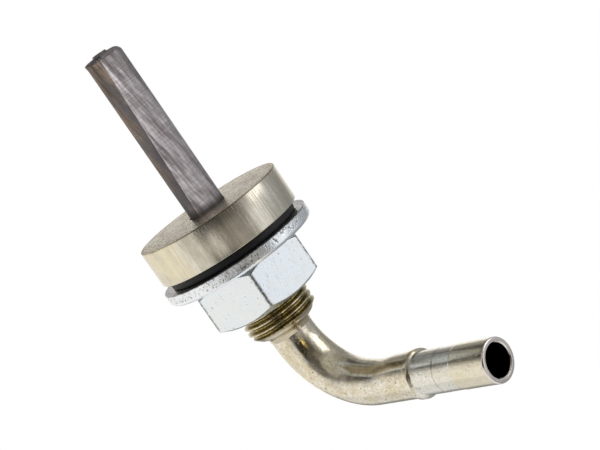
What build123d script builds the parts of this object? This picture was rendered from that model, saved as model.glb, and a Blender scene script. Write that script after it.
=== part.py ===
from build123d import *
import math
import os

# Bulkhead fitting for a fuel tank outlet, in millimetres.
# +Z is the main axis, pointing into the tank towards the strainer.
# The origin is the centre of the flange underside, which seats on the tank wall.
# The outlet tube bends towards +X.

# Flange and threaded shank, turned from one bar
FLANGE_DIAMETER = 32.8
FLANGE_THICKNESS = 8.1
FLANGE_EDGE_CHAMFER = 0.25
THREAD_DIAMETER = 15.85
SHANK_LENGTH = 21.2
SHANK_END_CHAMFER = 1.35
NOSE_LENGTH = 1.9
NOSE_ROOT_DIAMETER = 12.4
NOSE_TIP_WALL = 0.35
NOSE_HOLLOW = 0.24
FLOW_BORE_DIAMETER = 6.4

# Rolled gauze strainer, soldered into the flange face
STRAINER_DIAMETER = 7.9
STRAINER_HEIGHT = 37.4
STRAINER_INSERTION = 3.0
GAUZE_THICKNESS = 0.3
SEAM_ANGLE = -58.0
SOLDER_GAP = 0.05
SPIRAL_POINTS = 24

# Top of the strainer, a little slanted and folded over from one side, with a cut edge standing up behind
TOP_SLANT = 7.0
TOP_LOW_SIDE_ANGLE = -37.5
FOLD_SIDE_ANGLE = 52.5
FOLD_ROUNDING = 1.4
FLAP_THICKNESS = 0.9
FLAP_EDGE = -0.4
INNER_LAYER_THICKNESS = 0.6
INNER_LAYER_RECESS = 0.45
LIP_HEIGHT = 0.35
LIP_START_ANGLE = 123.0
LIP_END_ANGLE = 171.0

# Rubber sealing washer under the flange
SEAL_DIAMETER = 30.2
SEAL_THICKNESS = 1.86
SEAL_EDGE_RADIUS = 0.6
SEAL_CLEARANCE = 0.3

# Punched steel washer, with a die-rounded lower edge
WASHER_DIAMETER = 34.5
WASHER_THICKNESS = 2.7
WASHER_CLEARANCE = 0.35
WASHER_ROUNDING = 0.85
WASHER_TOP_BREAK = 0.12

# Hexagon nut, chamfered at both ends
NUT_ACROSS_FLATS = 24.0
NUT_HEIGHT = 10.4
NUT_FACE_DIAMETER = 22.7
NUT_CHAMFER_ANGLE = 30.0
NUT_CORNER_ANGLE = 20.8
NUT_THREAD_CLEARANCE = 0.05
NUT_MOUTH_CHAMFER = 0.55

# Bent outlet tube with its hose end
TUBE_DIAMETER = 9.6
TUBE_BORE_DIAMETER = 6.8
TUBE_INSERTION = 9.0
BRAZE_GAP = 0.05
BEND_START = 24.2
BEND_RADIUS = 15.4
BEND_ANGLE = 86.0
BEND_FLATTENING = 0.07
BEND_SECTIONS = 13
BORE_BEND_SECTIONS = 7
STRAIGHT_LENGTH = 33.4
BEAD_POSITION = 12.1
BEAD_DIAMETER = 10.2
BEAD_WIDTH = 1.2
BEAD_FRONT_TAPER = 0.4
SEAT_DIAMETER = 9.04
RIM_RADIUS = 0.55
MOUTH_CHAMFER = 0.25

# Flats that stand for a rounded edge on the turned pieces
ROUND_STEPS = 2

# Sizes that follow from the ones above
flange_radius = FLANGE_DIAMETER / 2
thread_radius = THREAD_DIAMETER / 2
strainer_radius = STRAINER_DIAMETER / 2
strainer_inner_radius = strainer_radius - GAUZE_THICKNESS
strainer_outer_radius = strainer_radius + GAUZE_THICKNESS
strainer_floor = FLANGE_THICKNESS - STRAINER_INSERTION
strainer_rim = FLANGE_THICKNESS + STRAINER_HEIGHT
tube_radius = TUBE_DIAMETER / 2
tube_bore_radius = TUBE_BORE_DIAMETER / 2
tube_socket_floor = TUBE_INSERTION - SHANK_LENGTH - NOSE_LENGTH
washer_top = -SEAL_THICKNESS
nut_top = washer_top - WASHER_THICKNESS


def turned(points):
    """Solid of revolution about +Z from (radius, height) points in order."""
    profile = make_face(Polyline(*[(r, 0, z) for r, z in points], close=True))
    return revolve(profile, Axis.Z)


def rounded(radius, height, rounding, start):
    """Profile points of a quarter circle about a centre, from a start angle in degrees."""
    angles = [math.radians(start + 90 * i / ROUND_STEPS) for i in range(ROUND_STEPS + 1)]
    return [(radius + rounding * math.cos(a), height + rounding * math.sin(a)) for a in angles]


def fitting_body():
    """Flange, shank and hollow-ground nose, with the flow bore and a socket at each end."""
    strainer_socket = strainer_outer_radius + SOLDER_GAP
    tube_socket = tube_radius + BRAZE_GAP
    nose_root = NOSE_ROOT_DIAMETER / 2
    nose_tip = tube_socket + NOSE_TIP_WALL
    nose_low = -SHANK_LENGTH - NOSE_LENGTH
    edge = FLANGE_EDGE_CHAMFER
    return turned([
        (FLOW_BORE_DIAMETER / 2, strainer_floor),
        (strainer_socket, strainer_floor),
        (strainer_socket, FLANGE_THICKNESS),
        (flange_radius - edge, FLANGE_THICKNESS),
        (flange_radius, FLANGE_THICKNESS - edge),
        (flange_radius, edge),
        (flange_radius - edge, 0),
        (thread_radius, 0),
        (thread_radius, SHANK_END_CHAMFER - SHANK_LENGTH),
        (thread_radius - SHANK_END_CHAMFER, -SHANK_LENGTH),
        (nose_root, -SHANK_LENGTH),
        ((nose_root + nose_tip) / 2 - NOSE_HOLLOW, -SHANK_LENGTH - NOSE_LENGTH / 2 + NOSE_HOLLOW),
        (nose_tip, nose_low),
        (tube_socket, nose_low),
        (tube_socket, tube_socket_floor),
        (FLOW_BORE_DIAMETER / 2, tube_socket_floor),
    ])


def spiral_face(outer_start, step, inner_radius):
    """Cross-section of a rolled sheet, with a step where its edge laps over."""
    points = []
    for i in range(SPIRAL_POINTS + 1):
        turn = i / SPIRAL_POINTS
        angle = math.radians(SEAM_ANGLE + 360 * turn)
        radius = outer_start + step * (1 - turn)
        points.append((radius * math.cos(angle), radius * math.sin(angle)))
    outline = make_face(Curve() + [Spline(*points), Line(points[-1], points[0])])
    return outline - Circle(inner_radius)


def sector(start, end):
    """Wedge from the axis outwards, between two angles in degrees."""
    reach = 2 * strainer_outer_radius
    angles = [math.radians(a) for a in (start, end)]
    corners = [(reach * math.cos(a), reach * math.sin(a)) for a in angles]
    return make_face(Polyline((0, 0), *corners, close=True))


def folded_layers():
    """Layers that close the strainer: one just inside the rim, and a flap over half of it."""
    radius = strainer_inner_radius + GAUZE_THICKNESS / 2
    layer_low = -INNER_LAYER_RECESS - INNER_LAYER_THICKNESS
    layer = Pos(0, 0, layer_low) * extrude(Circle(radius), INNER_LAYER_THICKNESS)
    covered = Pos(FLAP_EDGE + radius, 0) * Rectangle(2 * radius, 2 * radius)
    flap_face = Circle(radius) & Rot(0, 0, FOLD_SIDE_ANGLE) * covered
    flap = Pos(0, 0, -FLAP_THICKNESS) * extrude(flap_face, FLAP_THICKNESS)
    return layer + flap


def beyond_fold():
    """Corner left outside the rounded fold, to be cut away."""
    width = 3 * strainer_outer_radius
    block = Pos(FOLD_ROUNDING / 2, 0, FOLD_ROUNDING / 2) * Box(FOLD_ROUNDING, width, FOLD_ROUNDING)
    corner = block - Rot(90, 0, 0) * Cylinder(FOLD_ROUNDING, width)
    place = Pos(strainer_outer_radius - FOLD_ROUNDING, 0, -FOLD_ROUNDING)
    return Rot(0, 0, FOLD_SIDE_ANGLE) * place * corner


def strainer_screen():
    """Rolled gauze tube with a lap seam, and a slanted top folded shut."""
    section = spiral_face(strainer_radius, GAUZE_THICKNESS, strainer_inner_radius)
    block = 2 * STRAINER_DIAMETER
    slant = Rot(0, 0, TOP_LOW_SIDE_ANGLE) * Rot(0, TOP_SLANT, 0) * Rot(0, 0, -TOP_LOW_SIDE_ANGLE)
    top = Pos(0, 0, strainer_rim) * slant
    # The wall runs past its rim and is cut off along the slant.
    wall = extrude(Pos(0, 0, strainer_floor) * section, strainer_rim + strainer_radius - strainer_floor)
    wall -= top * Pos(0, 0, block / 2) * Box(block, block, block)
    edge = section & sector(LIP_START_ANGLE, LIP_END_ANGLE)
    lip = Pos(0, 0, -LIP_HEIGHT) * extrude(edge, 2 * LIP_HEIGHT)
    return wall + top * (folded_layers() + lip) - top * beyond_fold()


def sealing_washer():
    """Flat rubber ring with a soft outer edge."""
    outer = SEAL_DIAMETER / 2 - SEAL_EDGE_RADIUS
    inner = thread_radius + SEAL_CLEARANCE
    return turned([
        (inner, washer_top),
        *rounded(outer, washer_top + SEAL_EDGE_RADIUS, SEAL_EDGE_RADIUS, -90),
        *rounded(outer, -SEAL_EDGE_RADIUS, SEAL_EDGE_RADIUS, 0),
        (inner, 0),
    ])


def flat_washer():
    """Punched washer: crisp upper edge, rounded lower edge."""
    outer = WASHER_DIAMETER / 2
    inner = thread_radius + WASHER_CLEARANCE
    return turned([
        (inner, nut_top),
        *rounded(outer - WASHER_ROUNDING, nut_top + WASHER_ROUNDING, WASHER_ROUNDING, -90),
        (outer, washer_top - WASHER_TOP_BREAK),
        (outer - WASHER_TOP_BREAK, washer_top),
        (inner, washer_top),
    ])


def hex_nut():
    """Hexagon prism trimmed by a cone at each end, on its thread bore."""
    corner_radius = NUT_ACROSS_FLATS / math.sqrt(3)
    face_radius = NUT_FACE_DIAMETER / 2
    drop = (corner_radius - face_radius) * math.tan(math.radians(NUT_CHAMFER_ANGLE))
    bore = thread_radius + NUT_THREAD_CLEARANCE
    mouth = bore + NUT_MOUTH_CHAMFER
    nut_low = nut_top - NUT_HEIGHT
    blank = RegularPolygon(corner_radius, 6, rotation=NUT_CORNER_ANGLE)
    prism = Pos(0, 0, nut_low) * extrude(blank, NUT_HEIGHT)
    envelope = turned([
        (bore, nut_low + NUT_MOUTH_CHAMFER),
        (mouth, nut_low),
        (face_radius, nut_low),
        (corner_radius, nut_low + drop),
        (corner_radius, nut_top - drop),
        (face_radius, nut_top),
        (mouth, nut_top),
        (bore, nut_top - NUT_MOUTH_CHAMFER),
    ])
    return prism & envelope


def bend_plane(angle):
    """Plane square to the tube's centre line at an angle round the bend, in degrees."""
    turn = math.radians(angle)
    origin = (BEND_RADIUS * (1 - math.cos(turn)), 0, -BEND_START - BEND_RADIUS * math.sin(turn))
    across = (math.cos(turn), 0, math.sin(turn))
    along = (math.sin(turn), 0, -math.cos(turn))
    return Plane(origin=origin, x_dir=across, z_dir=along)


def bend(radius, count, ruled):
    """Bend of the tube as a loft of circles that flatten towards its middle."""
    sections = []
    for i in range(count):
        turn = i / (count - 1)
        squeeze = BEND_FLATTENING * math.sin(math.pi * turn) ** 2
        section = Ellipse(radius * (1 - squeeze), radius * (1 + squeeze / 2))
        sections.append(bend_plane(BEND_ANGLE * turn) * section)
    return loft(sections, ruled=ruled)


def elbow_tube():
    """Tube from its socket in the shank, round the bend, to the hose end."""
    seat = SEAT_DIAMETER / 2
    bead_end = BEAD_POSITION + BEAD_WIDTH
    lead_length = tube_socket_floor + BEND_START
    lead_in = Pos(0, 0, -BEND_START) * extrude(Circle(tube_radius), lead_length)
    outlet = turned([
        (0, 0),
        (tube_radius, 0),
        (tube_radius, BEAD_POSITION),
        (BEAD_DIAMETER / 2, BEAD_POSITION),
        (BEAD_DIAMETER / 2, bead_end),
        (seat, bead_end + BEAD_FRONT_TAPER),
        *rounded(seat - RIM_RADIUS, STRAIGHT_LENGTH - RIM_RADIUS, RIM_RADIUS, 0),
        (0, STRAIGHT_LENGTH),
    ])
    mouth = tube_bore_radius + MOUTH_CHAMFER
    outlet_bore = turned([
        (0, 0),
        (tube_bore_radius, 0),
        (tube_bore_radius, STRAIGHT_LENGTH - MOUTH_CHAMFER),
        (mouth, STRAIGHT_LENGTH),
        (0, STRAIGHT_LENGTH),
    ])
    lead_in_bore = Pos(0, 0, -BEND_START) * extrude(Circle(tube_bore_radius), lead_length)
    end_plane = bend_plane(BEND_ANGLE)
    outside = lead_in + bend(tube_radius, BEND_SECTIONS, ruled=False) + end_plane * outlet
    inside = lead_in_bore + bend(tube_bore_radius, BORE_BEND_SECTIONS, ruled=True) + end_plane * outlet_bore
    return outside - inside


NODES = {
    "fitting_body": fitting_body,
    "strainer_screen": strainer_screen,
    "sealing_washer": sealing_washer,
    "flat_washer": flat_washer,
    "hex_nut": hex_nut,
    "elbow_tube": elbow_tube,
}

os.makedirs("parts", exist_ok=True)
for name, make in NODES.items():
    export_step(make(), f"parts/{name}.step")
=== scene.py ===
import bmesh
import bpy
import math
import numpy as np
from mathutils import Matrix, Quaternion, Vector


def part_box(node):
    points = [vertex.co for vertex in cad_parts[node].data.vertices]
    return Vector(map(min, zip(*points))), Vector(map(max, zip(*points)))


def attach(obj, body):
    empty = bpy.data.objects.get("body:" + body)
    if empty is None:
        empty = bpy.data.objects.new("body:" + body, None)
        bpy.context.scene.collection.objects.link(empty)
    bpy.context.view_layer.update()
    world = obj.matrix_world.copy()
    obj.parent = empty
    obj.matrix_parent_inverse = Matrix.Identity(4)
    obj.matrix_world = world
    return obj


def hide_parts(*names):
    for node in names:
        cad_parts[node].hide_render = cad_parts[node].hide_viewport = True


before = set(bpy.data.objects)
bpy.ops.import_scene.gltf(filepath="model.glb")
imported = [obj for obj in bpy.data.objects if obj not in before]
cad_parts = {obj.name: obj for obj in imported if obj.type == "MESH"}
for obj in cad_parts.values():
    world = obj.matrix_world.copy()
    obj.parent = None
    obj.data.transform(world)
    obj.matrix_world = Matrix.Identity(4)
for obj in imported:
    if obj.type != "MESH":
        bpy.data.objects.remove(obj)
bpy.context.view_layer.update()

# Sizes are in millimetres in this script, and meshes are made in metres. Angles are in degrees.
MM = 0.001

# Camera
CAMERA_PLACE = (258.67, -198.19, 51.75)
CAMERA_TARGET = (9.36, 10.27, -5.59)
CAMERA_ROLL = 34.16
CAMERA_LENS = 96
CAMERA_SENSOR = 36
CAMERA_NEAR = 10
CAMERA_FAR = 20000

# Meshes
SEED = 7
CORNER_SHARE = 0.45
WELD_DISTANCE = 0.004
SHARP_ANGLE = 50

# Fitting body
FLANGE_ROUNDING = 0.18
THREAD_RADIUS = 7.925
THREAD_PITCH = 1.5
THREAD_DEPTH = 0.92
THREAD_CREST = 0.2
THREAD_ROOT = 0.3
THREAD_ROWS = 12
THREAD_COLUMNS = 240
THREAD_TOP = -0.5
THREAD_NECK = 0.05
PHASE_ERROR = 1e-6
SHANK_END = -21.2
SHANK_CHAMFER = 1.35
NOSE_ROOT_RADIUS = 6.2
NOSE_WAIST_RADIUS = 5.08
NOSE_WAIST_DROP = 0.95
NOSE_WAIST_ROUNDING = 0.7
NOSE_TIP_RADIUS = 4.88
TUBE_SOCKET_RADIUS = 4.85
TUBE_SOCKET_FLOOR = -14.1
STRAINER_SOCKET_RADIUS = 4.3
STRAINER_FLOOR = 5.1
FLOW_BORE_RADIUS = 3.2

# Strainer
WIRE_PITCH = 0.27
WIRE_RADIUS = 0.08
WIRE_SWING = 0.04
WEAVE_STEPS = 2
WEAVE_RELIEF = 0.55
STRAINER_HEIGHT = 37.4
STREAK_SLOPE = -0.18
GAUZE_INNER_RADIUS = 3.65
GAUZE_RADIUS = 3.95
LAP_STEP = 0.3
SEAM_TOP_ANGLE = -48.0
SEAM_BASE_ANGLE = -68.0
INNER_WIRE_STEP = 4
INNER_LIT_HEIGHT = 0.6
INNER_SHADE = 0.1
TOP_SLANT = 7.0
TOP_BLEND_HEIGHT = 3
TOP_LOW_SIDE_ANGLE = -37.5
FOLD_SIDE_ANGLE = 52.5
FOLD_ROUNDING = 1.4
FOLD_END_SHARE = 0.98
LIP_HEIGHT = 0.35
LIP_START_ANGLE = 123.0
LIP_END_ANGLE = 171.0
FLARE = 0.18
FLARE_HEIGHT = 1.6
FLARE_ANGLE = -125.0
SHEET_RELIEF = 0.5

# Strainer's flap
FLAP_EDGE = -0.4
FLAP_LENGTH = 4.5
FLAP_STEPS = 60
FLAP_WIDENING = 0.46
FLAP_WIDENING_START = 0.8
FLAP_WIDENING_LENGTH = 2.6
FLAP_LEAST_WIDTH = 0.1
FLAP_FRAY_WIDTH = 0.2
FLAP_SINK = 0.07
FLAP_THICKNESS = 0.35
FLAP_UNDER_SHARE = 0.97
FLAP_TURN = 0.3
FLAP_SHADE = 0.5

# Strainer's inner layer
LAYER_RADIUS = 3.25
LAYER_COLUMNS = 120
LAYER_ROWS = 40
LAYER_RECESS = 0.5
LAYER_SLANT_SHARE = 0.6
LAYER_EDGE_DROP = 0.5
LAYER_EDGE_POWER = 6
LAYER_THICKNESS = 1.4
LAYER_TURN = 0.1
# Painted shadow in the layer's gaps: its level and contrast
GAP_SHADOW_LEVEL = 0.30
GAP_SHADOW_CONTRAST = 1.6

# Ripples, each with its height, its rates along x and y and its phase
FLAP_FRAY = (0.12, 3.1, 0, 0)
LAYER_EDGE_WAVE = (0.28, 7, 0, 0)
LAYER_EDGE_FRAY = (0.12, 17, 0, 1)
LAYER_CRUMPLE = (0.14, 2.1, 1.3, 0)
LAYER_CREASE = (0.08, -1.9, 4.3, 0)
GAP_SHADOW_ROWS = (1, 5.6, 2.2, 0)
GAP_SHADOW_COLUMNS = (1, -1.7, 4.9, 0.8)

# Seal and washer, with the tears' widths in radians
SEAL_BORE_RADIUS = 8.225
SEAL_ROUNDING = 0.6
SEAL_COLUMNS = 256
WASHER_BORE_RADIUS = 8.275
WASHER_BORE_ROUNDING = 0.1
WASHER_ROUNDING = 0.85
WASHER_TOP_BREAK = 0.12
WASHER_COLUMNS = 1600
WASHER_STEP = 0.12
TEAR_COUNT = 700
TEAR_DEPTH = 0.06
TEAR_LIMIT = 1.4
TEAR_WIDTHS = (0.003, 0.010)
TEAR_LENGTHS = (0.2, 0.9)
TEAR_STRENGTHS = (0.3, 1.0)
TEAR_LOW_MARGIN = 0.6
TEAR_TOP_MARGIN = 0.5
WALL_DEPTH = 0.1
DARK_EDGE_HEIGHT = 0.14
DARK_EDGE_WIDTH = 0.2

# Nut
NUT_HALF_FLATS = 12.0
NUT_FACE_RADIUS = 11.35
NUT_CHAMFER_ANGLE = 30.0
NUT_CORNER_ANGLE = 20.8
NUT_CORNER_ROUNDING = 0.45
NUT_EDGE_ROUNDING = 0.14
NUT_EDGE_LENGTH = 0.3
NUT_BORE_RADIUS = 7.975
NUT_MOUTH_CHAMFER = 0.55
NUT_STEP = 0.4
NUT_CONE_MARGIN = 0.1
NUT_CONE_DEPTH = 0.02
NUT_CONE_WEAR = 0.9
NUT_RIDGE_RADIUS = 13.6
NUT_RIDGE_WIDTH = 0.15

# Outlet tube
TUBE_RADIUS = 4.8
TUBE_BORE_RADIUS = 3.4
BEND_START = 24.2
BEND_RADIUS = 15.4
BEND_ANGLE = 86.0
BEND_FLATTENING = 0.07
BEND_FULLNESS = 0.45
BEND_FULL_STATION = 19.0
BEND_FULL_WIDTH = 9.0
BEND_DIP = 0.4
BEND_DIP_STATION = 36.0
BEND_DIP_WIDTH = 3.0
INNER_SIDE_SPREAD = 1.2
STRAIGHT_LENGTH = 33.4
BEAD_POSITION = 12.1
BEAD_RADIUS = 5.1
BEAD_WIDTH = 1.2
BEAD_FRONT_TAPER = 0.4
BEAD_ROOT_ROUNDING = 0.12
BEAD_BACK_ROUNDING = 0.2
BEAD_FRONT_ROUNDING = 0.3
BEAD_FOOT_ROUNDING = 0.25
SEAT_RADIUS = 4.48
GROOVE_POSITION = 7.6
GROOVE_LENGTH = 4.5
GROOVE_DEPTH = 0.03
GROOVE_SLOPE = 0.25
HOSE_END_RADIUS = 4.52
RIM_ROUNDING = 0.55
MOUTH_CHAMFER = 0.25
MOUTH_ROUNDING = 0.12
TUBE_ROUNDING = 0.1
TUBE_COLUMNS = 128
TUBE_STEP = 0.45

# Places along the tube's centre line, from its end in the body
BEND_STATION = BEND_START + TUBE_SOCKET_FLOOR
OUTLET_STATION = BEND_STATION + BEND_RADIUS * math.radians(BEND_ANGLE)
BEAD_STATION = OUTLET_STATION + BEAD_POSITION
BEAD_END_STATION = BEAD_STATION + BEAD_WIDTH
GROOVE_STATION = BEAD_STATION + GROOVE_POSITION
GROOVE_END_STATION = GROOVE_STATION + GROOVE_LENGTH
TUBE_END_STATION = OUTLET_STATION + STRAIGHT_LENGTH

# Painted dark reflection along the tube: its places, and its angle, width and strength at each
DARK_REFLECTION_STATIONS = (20, 22, 25, 27, 30, 34, 38, 42, 66)
DARK_REFLECTION_ANGLES = (-62, -62, -60, -46, -36, -38, -29, -23, -23)
DARK_REFLECTION_WIDTHS = (10, 10, 14, 22, 13, 10, 10, 10, 10)
DARK_REFLECTION_STRENGTHS = (0, 0.6, 1, 1, 1, 1, 1, 0.9, 0.5)

# Colours of the body
NICKEL_DULL = (0.77, 0.72, 0.60)
NICKEL_BRIGHT = (0.88, 0.84, 0.74)
NICKEL_SPECK = (0.30, 0.25, 0.18)
NICKEL_SCUFF = (0.45, 0.41, 0.33)
NICKEL_LINE = (0.50, 0.45, 0.35)
NICKEL_TARNISH = (0.36, 0.29, 0.20)
NICKEL_MOTTLE = (0.50, 0.45, 0.36)
NICKEL_RIM = (0.22, 0.18, 0.12)
NICKEL_STAIN = (0.84, 0.76, 0.52)
NICKEL_NOSE = (0.66, 0.58, 0.42)
GLANCE_CLEAN = (1.0, 0.99, 0.96)
GLANCE_TARNISHED = (0.68, 0.59, 0.47)
# Thread colours: valleys darkened as painted shade, crests lightened as a painted highlight
SHADED_VALLEY_DARK = (0.12, 0.09, 0.035)
SHADED_VALLEY_LIGHT = (0.36, 0.29, 0.12)
LIT_CREST_DARK = (0.50, 0.44, 0.27)
LIT_CREST_LIGHT = (0.80, 0.74, 0.56)

# Colours of the strainer
WIRE_DARK = (0.31, 0.27, 0.285)
WIRE_LIGHT = (1.0, 0.94, 1.0)
WIRE_PATCH = (0.36, 0.33, 0.335)
WIRE_PAINTED_SHADE = (0.24, 0.225, 0.235)
WIRE_SEAM_HIGHLIGHT = (0.85, 0.82, 0.84)
WIRE_RING = (0.10, 0.08, 0.07)
WIRE_GRAIN = (0.09, 0.06, 0.05)
WIRE_GAP_SHADE = (0.05, 0.045, 0.04)
BROWN_DARK = (0.08, 0.055, 0.035)
BROWN_LIGHT = (0.40, 0.31, 0.24)
BROWN_PATCH = (0.13, 0.13, 0.155)
BROWN_LOWER = (0.07, 0.07, 0.095)
# Black for painted shade and for the darker foot
SHADE_AND_FOOT_BLACK = (0.02, 0.017, 0.015)

# Colours of the seal, washer and nut
RUBBER_DARK = (0.004, 0.004, 0.005)
RUBBER_LIGHT = (0.013, 0.013, 0.015)
WASHER_DULL = (0.88, 0.93, 0.99)
WASHER_BRIGHT = (0.97, 0.99, 1.0)
NUT_DULL = (0.88, 0.95, 1.0)
NUT_BRIGHT = (0.96, 0.99, 1.0)
ZINC_SPECK = (0.33, 0.33, 0.32)
# Dark marks on zinc: tears, speckled cone arcs and darker edges
ZINC_WEAR_AND_DARK_EDGE = (0.14, 0.14, 0.15)

# Colours of the tube
TUBE_DULL = (0.79, 0.70, 0.49)
TUBE_BRIGHT = (0.97, 0.94, 0.86)
TUBE_MOTTLE = (0.48, 0.41, 0.28)
TUBE_PIT = (0.22, 0.18, 0.12)
TUBE_GRAIN = (0.46, 0.38, 0.25)
TUBE_DARK_REFLECTION = (0.33, 0.29, 0.22)
TUBE_SEAT = (0.84, 0.86, 0.84)
TUBE_HOSE_END = (0.80, 0.70, 0.47)
TUBE_RIM = (0.90, 0.84, 0.82)
TUBE_RING = (0.30, 0.30, 0.30)
TUBE_BORE_SHADE = (0.03, 0.025, 0.02)

# Nodes that mix colours: their inputs and output for colours
MIX_INPUTS = (6, 7)
MIX_OUTPUT = 2

# Room
CARD_DISTANCE = 1200
GAP_DISTANCE = 1100
NEAR_CARD_DISTANCE = 60
WARM_LAMP_DISTANCE = 45
CARD_COLUMNS = 25
CARD_ROWS = 13
BEND_SIDE = (4, -2.5, -27)
WHITE_CARD = (1.0, 0.98, 0.94)
MIDDLE_CARD = (1.0, 0.98, 0.95)
DAYLIGHT = (0.97, 0.98, 1.0)
COOL_WALL = (0.95, 0.97, 1.0)
GREY_WALL = (0.94, 0.97, 1.0)
WARM_FLOOR = (1.0, 0.95, 0.88)
WARM_GAP = (1.0, 0.95, 0.85)
BROWN_CARD = (1.0, 0.88, 0.70)
LAMP_GLOW = (1.0, 0.78, 0.25)
PALE_FRAME = (1.0, 0.98, 0.96)
WARM_WALL = (1.0, 0.93, 0.84)
CEILING = (1.0, 0.98, 0.92)
ROOM_COLOUR = (1.0, 0.98, 0.93)
ROOM_STRENGTH = 0.33
FLOOR_HEIGHT = -300
FLOOR_RADIUS = 600
FLOOR_CENTRE_RADIUS = 0.001
FLOOR_COLUMNS = 64
FLOOR_COLOUR = (0.30, 0.30, 0.30)
WINDOW_DIRECTION = (0.707, 0.707, 0)
WINDOW_SHADE = (120, 320)
BACK_DIRECTION = (0, 1, 0)
BACK_SHADE = (15, 95)

random = np.random.default_rng(SEED)


def reach(name):
    """Outer radius, lowest and highest height of a solid that is turned about +Z."""
    low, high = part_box(name)
    return high.y / MM, low.z / MM, high.z / MM


FLANGE_RADIUS, NOSE_END, FLANGE_TOP = reach("fitting_body")
STRAINER_RIM = FLANGE_TOP + STRAINER_HEIGHT

# Direction of the flange's stained side
STAINED_SIDE = (-0.087, -0.996, 0)

# Where a finish starts and where it is full, on the body
WORN_RIM = (FLANGE_RADIUS - 1.5, FLANGE_RADIUS - 0.4)
DARK_RIM = (FLANGE_RADIUS - 0.21, FLANGE_RADIUS - 0.14)
DARK_RIM_TOP = (FLANGE_TOP - 0.24, FLANGE_TOP - 0.18)
TOP_FACE = (FLANGE_TOP - 0.1, FLANGE_TOP - 0.01)
STAINED_EDGE = (0.88 * FLANGE_RADIUS, FLANGE_RADIUS)
THREAD_FLANK = (THREAD_RADIUS - 0.575, THREAD_RADIUS - 0.025)
BRASS_TOP = (THREAD_TOP + 0.4, THREAD_TOP + 0.2)
BRASS_FOOT = (SHANK_END + 0.6, SHANK_END + 1.0)
NOSE_TOP = (SHANK_END + 0.6, SHANK_END - 0.1)

# The same on the strainer, by height and by shares of a turn round from its seam
DARK_FOOT = (FLANGE_TOP + 0.3, FLANGE_TOP + 2.0)
LOWER_FOOT = (10.0, 16.0)
LOWER_TOP = (30.0, 22.0)
LOWER_SIDE = (0.84, 0.97)
SEAM_HIGHLIGHT_EDGE = (0.002, 0.008)
PAINTED_SHADE_SIDE = (0.11, 0.22)
BROWN_SIDE = (0.55, 0.8)

# The same along the tube, and where the painted shade in its bore and the ring on its seat fade out
SEAT_START = (46.6, 46.9)
HOSE_END_START = (57.4, 57.6)
RIM_START = (66.0, 66.3)
RING_STATION = 52.9
BORE_WALL = (TUBE_BORE_RADIUS + 0.01, TUBE_BORE_RADIUS + 0.07)
RING_WIDTH = (0.08, 0.22)


def soften(corners, steps=3):
    """Outline from (x, y, rounding) corners, with each corner rounded off."""
    outline = []
    for i, (x, y, rounding) in enumerate(corners):
        corner = np.array((x, y))
        if not rounding:
            outline.append(corner)
            continue
        to_last = np.array(corners[i - 1][:2]) - corner
        to_next = np.array(corners[(i + 1) % len(corners)][:2]) - corner
        back = np.linalg.norm(to_last)
        ahead = np.linalg.norm(to_next)
        half = math.acos(np.clip(to_last @ to_next / (back * ahead), -1, 1)) / 2
        cut = min(rounding / math.tan(half), CORNER_SHARE * back, CORNER_SHARE * ahead)
        start = corner + to_last / back * cut
        end = corner + to_next / ahead * cut
        for t in np.linspace(0, 1, steps + 1):
            outline.append((1 - t) ** 2 * start + 2 * t * (1 - t) * corner + t ** 2 * end)
    return np.array(outline)


def divided(outline, step, beyond=-math.inf):
    """The closed outline with points added, so that no run past a radius is longer than the step."""
    points = []
    for here, ahead in zip(outline, np.roll(outline, -1, axis=0)):
        wanted = math.ceil(np.linalg.norm(ahead - here) / step)
        count = max(1, wanted) if min(here[0], ahead[0]) >= beyond else 1
        points += [here + (ahead - here) * k / count for k in range(count)]
    return np.array(points)


def polar(radius, angle, height):
    """Points at a radius, an angle in radians and a height, which may differ from point to point."""
    return np.stack(np.broadcast_arrays(radius * np.cos(angle), radius * np.sin(angle), height), axis=-1)


def turn_grid(outline, columns):
    """Grid of points from an (r, z) outline turned about +Z."""
    angles = np.linspace(0, 2 * math.pi, columns, endpoint=False)[:, None]
    return polar(outline[None, :, 0], angles, outline[None, :, 1])


def ripple(shape, x, y=0.0):
    """Height of a ripple over a place."""
    height, rate_x, rate_y, phase = shape
    return height * np.sin(rate_x * x + rate_y * y + phase)


def keep(mesh, label, values):
    """Stores a number or a vector for each point of the mesh, for its material."""
    kind, field = ("FLOAT_VECTOR", "vector") if values.ndim == 3 else ("FLOAT", "value")
    layer = mesh.attributes.new(label, kind, "POINT")
    layer.data.foreach_set(field, values.reshape(-1).astype(np.float32))


def build(name, grid, place=None, wrap_columns=True, wrap_rows=True, extras=None, merge=0.0):
    """Object from a grid of points in mm, with each point's place kept for its material."""
    columns, rows = grid.shape[:2]
    index = np.arange(columns * rows).reshape(columns, rows)
    right = np.roll(index, -1, axis=0)
    across = slice(None) if wrap_columns else slice(0, -1)
    up = slice(None) if wrap_rows else slice(0, -1)
    quads = np.stack([
        index[across, up],
        right[across, up],
        np.roll(right, -1, axis=1)[across, up],
        np.roll(index, -1, axis=1)[across, up],
    ], axis=-1).reshape(-1, 4)
    mesh = bpy.data.meshes.new(name)
    mesh.from_pydata((grid.reshape(-1, 3) * MM).tolist(), [], quads.tolist())
    keep(mesh, "place", grid if place is None else place)
    for label, values in (extras or {}).items():
        keep(mesh, label, values)
    work = bmesh.new()
    work.from_mesh(mesh)
    if merge:
        bmesh.ops.remove_doubles(work, verts=work.verts, dist=merge * MM)
    bmesh.ops.recalc_face_normals(work, faces=work.faces)
    work.to_mesh(mesh)
    work.free()
    mesh.shade_smooth()
    mesh.set_sharp_from_angle(angle=math.radians(SHARP_ANGLE))
    made = bpy.data.objects.new(name, mesh)
    bpy.context.scene.collection.objects.link(made)
    return made


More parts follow.
